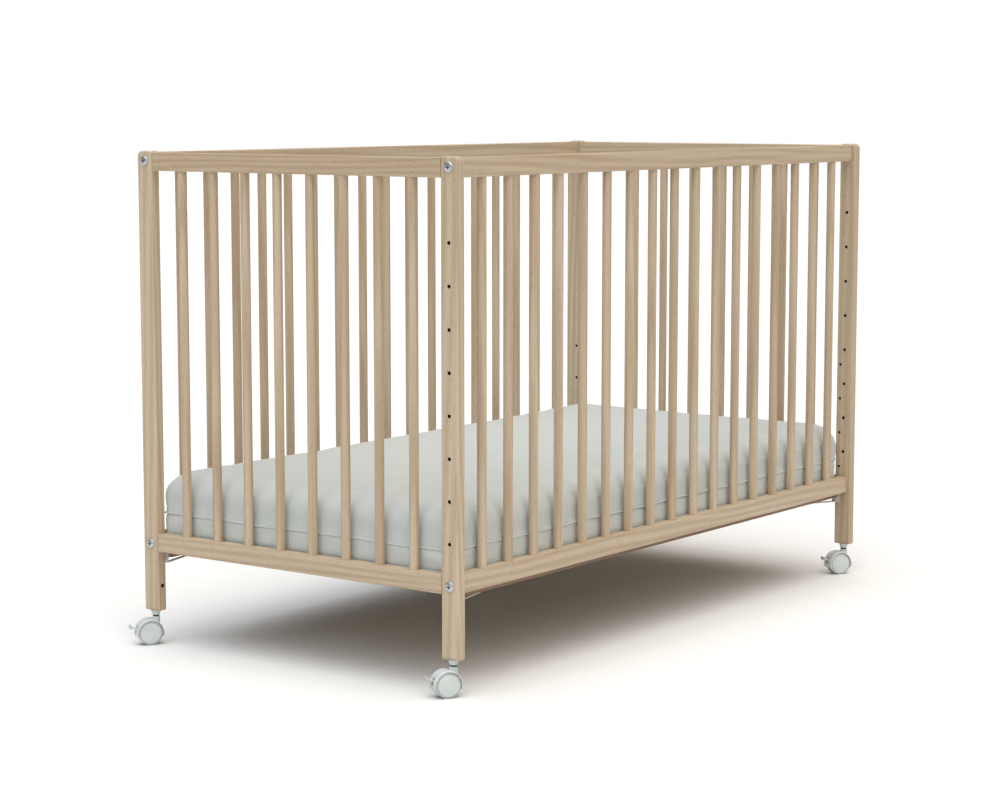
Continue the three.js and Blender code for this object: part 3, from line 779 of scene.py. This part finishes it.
# A low dome, whose height falls with the fourth power of the way from the middle, and puckers: folds along
# the seam, each one plus a swaying sine, that die away from the corners.
def domedAndPuckered(points, low, high, seam):
    half = (high - low) / 2
    fromMiddle = (points - (low + high) / 2)[:, :2]
    dome = mattress["crown"] * np.prod(np.clip(1 - (fromMiddle / half[:2]) ** 4, 0, 1), axis=1)
    points[:, 2] += dome * np.clip((points[:, 2] - seam) / (high[2] - seam), 0, 1)
    gap = half[:2] - np.abs(fromMiddle)
    near = np.exp(-np.linalg.norm(gap, axis=1) / mattress["puckerReach"]
                  - ((points[:, 2] - seam) / mattress["puckerTall"]) ** 2)
    sway = mattress["puckerSway"] * np.sin(fromMiddle.sum(1) * mattress["puckerSwayOften"])
    fold = mattress["pucker"] * near * (1 + np.sin(points[:, 2] * mattress["puckerOften"] + sway))
    points[:, :2] -= np.sign(fromMiddle) * fold[:, None] * (gap < mattress["puckerDeep"])
    points[:, 2] = np.maximum(points[:, 2], low[2])
    return points


def makeMattress():
    coverCloth = makeCover()
    low, high = boxOf("mattress")
    shape, outline, seam = mattressBlank(low, high)
    piece = makeObject("mattress_cover", shape)
    remesh = piece.modifiers.new("even", "REMESH")
    remesh.mode = "VOXEL"
    remesh.voxel_size = filling["voxel"]
    applied(piece)
    points = verticesOf(piece)
    points = swollen(piece, points, seam)
    points = domedAndPuckered(points, low, high, seam)
    piece.data.vertices.foreach_set("co", points.ravel())
    piece.data.update()
    finer = piece.modifiers.new("finer", "SUBSURF")
    finer.levels = finer.render_levels = 1
    makePiece("", piece, coverCloth, "mattress", ["mattress"])
    makePiping(outline, seam, (low + high) / 2, coverCloth)
    print("mattress made")


# A bead along the seam: a flattened circle carried round the plan outline, rising and falling in two waves.
def makePiping(outline, seam, middle, coverCloth):
    spots = outline + outwards(outline) * piping["out"]
    gaps = np.linalg.norm(np.roll(spots, -1, 0) - spots, axis=1)
    reach = np.concatenate([[0], np.cumsum(gaps)])
    along = np.linspace(0, reach[-1], piping["steps"], endpoint=False)
    line = np.stack([np.interp(along, reach, np.append(spots[:, i], spots[0, i])) for i in (0, 1)], -1)
    way = outwards(line)
    way /= np.linalg.norm(way, axis=1)[:, None]
    rise = sum(high * np.sin(along * often + start) for high, often, start in piping["waves"])
    turn = np.arange(piping["sides"]) * 2 * np.pi / piping["sides"]
    flat = line[:, None] + way[:, None] * (piping["radius"] * np.cos(turn))[None, :, None]
    bead = piping["squashed"] * piping["radius"] * np.sin(turn)
    height = seam + piping["up"] + rise[:, None] + bead[None]
    rings = np.concatenate([flat, height[..., None]], -1) + (middle[0], middle[1], 0)
    count, sides = rings.shape[:2]
    here = np.arange(count)[:, None] * sides + np.arange(sides)[None]
    over = np.roll(here, -1, 1)
    faces = np.stack([here, np.roll(here, -1, 0), np.roll(over, -1, 0), over], -1).reshape(-1, 4).tolist()
    makePiece("mattress_piping", (rings.reshape(-1, 3), faces), coverCloth, "mattress", (),
              sharpNever)


# A caster is made with u running back from its stem and v along its axle, and is then stood in its place.
caster = {
    "hoodRadius": 23 * mm, "hoodHalf": 13 * mm, "hoodEdge": 1.5 * mm, "hoodLip": 0.2 * mm,
    "skirt": 0.31,  # radians that the arc goes on past half a circle, at each end
    "clear": 21.0 * mm, "web": 3.2 * mm, "roomHalf": 12 * mm, "cutEdge": 0.6 * mm,
    "boss": 6.5 * mm, "bossFrom": 30 * mm, "bossTop": 46.6 * mm, "bossEdge": 0.8 * mm,
    "slot": (20 * mm, 31.5 * mm), "slotStart": 24 * mm, "slotHalf": 20 * mm, "slotEdge": 0.3 * mm,
    "axle": 2 * mm, "axleHalf": 10.6 * mm, "axleEdge": 0.4 * mm,
}
wheel = {
    "radius": 20 * mm, "inner": 3.6 * mm, "outer": 12.4 * mm, "hub": 4 * mm, "innerRound": 0.8 * mm,
    "outerRound": 1.6 * mm, "sides": 64,
    "dish": ((18.6, 0.0), (18.5, -2.4), (17.5, -2.4), (17.3, -0.1), (12, 0.12), (6, 0.25), (1, 0.3)),
}
brake = {
    "pivot": (27 * mm, 25 * mm), "barrel": 2.6 * mm, "barrelHalf": 2.8 * mm, "barrelEdge": 0.3 * mm,
    "arm": 1.3 * mm, "armHalf": 2.7 * mm, "armEdge": 0.7 * mm,
    "tab": (43.5 * mm, 31 * mm), "tabHigh": 3.3 * mm, "tabDeep": 1.4 * mm, "tabHalf": 6.5 * mm,
    "tabEdge": 1.2 * mm,
    "ribHigh": 2.2 * mm, "ribDeep": 0.3 * mm, "ribHalf": 0.5 * mm, "ribEdge": 0.2 * mm, "ribOut": 1.3 * mm,
    "ribsAt": (-4, -2, 0, 2, 4),
}
socket = {  # points of radius and height, in mm; the collar goes on up to the post
    "gap": 0.3 * mm, "collar": ((5.6, 49.6), (6.0, 49.7), (6.2, 50.1), (7.9, 55.4), (8.2, 56.2)),
    "lipRadius": 8.2, "lipDrop": 0.2, "topRadius": 8.0,
    "neck": ((3.0, 40), (3.0, 46.9), (5.1, 46.95), (5.4, 47.2), (5.4, 49.2), (5.2, 49.55)),
}


# The hood's side is an arc over the wheels closed by a chord, given a thickness. A round boss for the stem
# is joined on, and two round rooms for the wheels and a slot for the brake are cut out.
def hoodShape(name, trail, axleUp):
    turn = np.linspace(-caster["skirt"], np.pi + caster["skirt"], 49)
    radius = caster["hoodRadius"]
    arc = np.stack([axleUp + radius * np.sin(turn), trail + radius * np.cos(turn)], -1)
    shell = slab(arc, caster["hoodHalf"], caster["hoodEdge"], 4, caster["hoodLip"])
    shell = laid(shell, "y", (0, 0, 0))
    bossHalf = (caster["bossTop"] - caster["bossFrom"]) / 2
    boss = slab(circleOutline(caster["boss"], 32), bossHalf, caster["bossEdge"], 3)
    boss = laid(boss, "z", (0, 0, caster["bossTop"] - bossHalf))
    web, roomHalf = caster["web"], caster["roomHalf"]
    room = slab(circleOutline(caster["clear"], 64), roomHalf, caster["cutEdge"], 3)
    rooms = [laid(room, "y", (trail, side * (web + roomHalf), axleUp)) for side in (-1, 1)]
    slotLow, slotHigh = caster["slot"]
    slotOutline = roundedOutline((slotHigh - slotLow) / 2, caster["slotHalf"], caster["cutEdge"], 2)
    slot = slab(slotOutline, web + caster["slotEdge"], caster["slotEdge"], 2)
    slot = laid(slot, "y", (caster["slotStart"] + caster["slotHalf"], 0, (slotLow + slotHigh) / 2))
    return carved(name, shell, [*rooms, slot], [boss], sharpHard)


# From the inner face round the tread's quarter circle to a shallow dish with a groove inside its rim;
# heights are along the axle.
def wheelProfile():
    radius, inner, outer = wheel["radius"], wheel["inner"], wheel["outer"]
    turn = np.linspace(0, np.pi / 2, 5)
    tread = np.stack([radius - wheel["outerRound"] * (1 - np.cos(turn)),
                      outer - wheel["outerRound"] * (1 - np.sin(turn))], -1)
    dish = np.array(wheel["dish"]) * mm + (0, outer)
    innerRound = wheel["innerRound"]
    innerFace = [[wheel["hub"], inner], [radius - innerRound, inner], [radius, inner + innerRound]]
    return np.concatenate([innerFace, tread, dish])


def makeCasters():
    for corner, _, _ in corners:
        swivel, roll = jointNamed["swivel_" + corner], jointNamed["roll_outer_" + corner]
        stem, axlePlace = np.array(swivel["pos_m"]), np.array(roll["pos_m"])
        back = axlePlace - stem
        back[2] = 0
        trail = np.linalg.norm(back)
        back /= trail
        sideways = np.array([-back[1], back[0], 0])
        turnTo = np.stack([back, sideways, (0, 0, 1)])
        ground = np.array([stem[0], stem[1], 0])
        axleUp = axlePlace[2]

        def stood(shape):  # from u, v and height to where this caster stands
            points, faces = shape
            return points @ turnTo + ground, faces

        hood = hoodShape(f"caster_hood_{corner}_nylon", trail, axleUp)
        hood.data.vertices.foreach_set("co", (verticesOf(hood) @ turnTo + ground).ravel())
        makePiece("", hood, whiteNylon, "caster_" + corner, ["caster_hood_" + corner])
        pin = slab(circleOutline(caster["axle"], 24), caster["axleHalf"], caster["axleEdge"], 2)
        pin = laid(pin, "y", (trail, 0, axleUp))
        makePiece(f"caster_axle_{corner}_zinc", stood(pin), zincPlate, "caster_" + corner,
                  ["caster_axle_" + corner])
        disc = revolve(wheelProfile(), wheel["sides"])
        for which, way in (("outer", 1), ("inner", -1)):
            points, faces = laid(disc, "y", (0, 0, 0))
            points = points * (way, way, 1) + (trail, 0, axleUp)
            makePiece(f"wheel_{which}_{corner}_nylon", stood((points, faces)), whiteNylon,
                      f"wheel_{which}_{corner}", [f"caster_wheel_{which}_{corner}"],
                      sharpHard)
        makeBrake(corner, stood)
        makeSocket(corner, stood)
    print("casters made")


# A round barrel on the pivot, a flat arm leaning up to the back, and a ribbed tab across its end.
def makeBrake(corner, stood):
    pivotU, pivotZ = brake["pivot"]
    tabU, tabZ = brake["tab"]
    barrel = slab(circleOutline(brake["barrel"], 28), brake["barrelHalf"], brake["barrelEdge"], 2)
    barrel = laid(barrel, "y", (pivotU, 0, pivotZ))
    long, rise = np.hypot(tabU - pivotU, tabZ - pivotZ), np.arctan2(tabZ - pivotZ, tabU - pivotU)
    armOutline = roundedOutline(brake["arm"], long / 2, brake["armEdge"], 3)
    arm = slab(armOutline, brake["armHalf"], brake["armEdge"], 3)
    points, faces = laid(arm, "y", (0, 0, 0))
    lean = np.array([[np.cos(rise), 0, np.sin(rise)], [0, 1, 0], [-np.sin(rise), 0, np.cos(rise)]])
    arm = points @ lean + ((pivotU + tabU) / 2, 0, (pivotZ + tabZ) / 2), faces
    tabOutline = roundedOutline(brake["tabHigh"], brake["tabDeep"], brake["tabEdge"], 4)
    tab = laid(slab(tabOutline, brake["tabHalf"], brake["tabEdge"], 4), "y", (tabU, 0, tabZ))
    ribOutline = roundedOutline(brake["ribHigh"], brake["ribDeep"], brake["ribEdge"], 2)
    rib = slab(ribOutline, brake["ribHalf"], brake["ribEdge"], 2)
    ribs = [laid(rib, "y", (tabU + brake["ribOut"], v * mm, tabZ)) for v in brake["ribsAt"]]
    makePiece(f"caster_brake_{corner}_nylon", stood(together(barrel, arm, tab, *ribs)), whiteNylon,
              "brake_" + corner, ["caster_brake_" + corner], sharpHard)


def makeSocket(corner, stood):  # a flared collar under the post, and the stem's steel neck below it
    under = (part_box("post_" + corner)[0][2] - socket["gap"]) / mm
    top = [(socket["lipRadius"], under - socket["lipDrop"]), (socket["topRadius"], under)]
    collar = revolve(np.array([*socket["collar"], *top]) * mm, 40)
    makePiece(f"caster_collar_{corner}_nylon", stood(collar), whiteNylon, "frame",
              ["caster_socket_" + corner], sharpHard)
    neck = revolve(np.array(socket["neck"]) * mm, 32)
    makePiece(f"caster_neck_{corner}_steel", stood(neck), darkNeck, "frame", (), sharpHard)


studio = {
    "floor": (230, 230, 230), "low": 0.015, "above": 2.2, "aboveRise": (0.58, 0.97),
    "front": 2.0, "frontWay": (-0.57, -0.48, 0.67), "frontRise": (0.58, 0.95), "frontClear": (0.34, 0.5),
    "warm": (1.05, 0.955, 0.83, 1), "cool": (0.98, 1.11, 1.27, 1), "warmAbove": 0.35, "far": 20.0,
}


def glow(tree, value, most, rise):  # a soft-edged patch of sky, smooth from none to most
    inputs = {"Value": value, "From Min": rise[0], "From Max": rise[1], "To Min": 0.0, "To Max": most}
    return addNode(tree, "MapRange", inputs, interpolation_type="SMOOTHSTEP").outputs["Result"]


# A pale floor, and a sky with two soft patches of light, one overhead and one from the front left. It is
# warmer towards the right and the front, and dark near the ground, so that the floor keeps a shadow.
def makeStudio():
    mesh = bpy.data.meshes.new("floor")
    far = studio["far"]
    mesh.from_pydata([(-far, -far, 0), (far, -far, 0), (far, far, 0), (-far, far, 0)], [], [(0, 1, 2, 3)])
    floor = bpy.data.objects.new("floor", mesh)
    scene.collection.objects.link(floor)
    floorValues = {"Base Color": linear(*studio["floor"]), "Roughness": 0.9, "Specular IOR Level": 0.0}
    mesh.materials.append(newMaterial("pale_floor", **floorValues)[0])

    world = bpy.data.worlds.new("studio")
    world.use_nodes = True
    tree = world.node_tree
    sight = addNode(tree, "TexCoord").outputs["Generated"]
    way = addNode(tree, "SeparateXYZ", {0: sight}).outputs
    lift = glow(tree, way["Z"], studio["above"], studio["aboveRise"])
    facing = addNode(tree, "VectorMath", {0: sight, 1: studio["frontWay"]}, operation="DOT_PRODUCT")
    front = glow(tree, facing.outputs["Value"], studio["front"], studio["frontRise"])
    front = maths(tree, "MULTIPLY", front, glow(tree, way["Z"], 1.0, studio["frontClear"]))
    lift = maths(tree, "ADD", lift, front)
    lift = maths(tree, "ADD", lift, studio["low"])
    aside = maths(tree, "SUBTRACT", way["X"], way["Y"])
    warmth = maths(tree, "ADD", aside, maths(tree, "MULTIPLY", way["Z"], studio["warmAbove"]))
    tint = mixColour(tree, remap(tree, warmth, -1.0, 1.0), studio["cool"], studio["warm"])
    seen = addNode(tree, "LightPath").outputs["Is Camera Ray"]
    sky = tree.nodes["Background"]
    tree.links.new(mixColour(tree, seen, tint, white), sky.inputs["Color"])
    strength = addNode(tree, "Mix", {0: seen, 2: lift, 3: 1.0}, data_type="FLOAT").outputs[0]
    tree.links.new(strength, sky.inputs["Strength"])
    scene.world = world
    scene.view_settings.view_transform = "Standard"
    print("studio made")


makePosts()
makeRails()
makeBolts()
makeBase()
makeBrackets()
makeMattress()
makeCasters()
makeStudio()
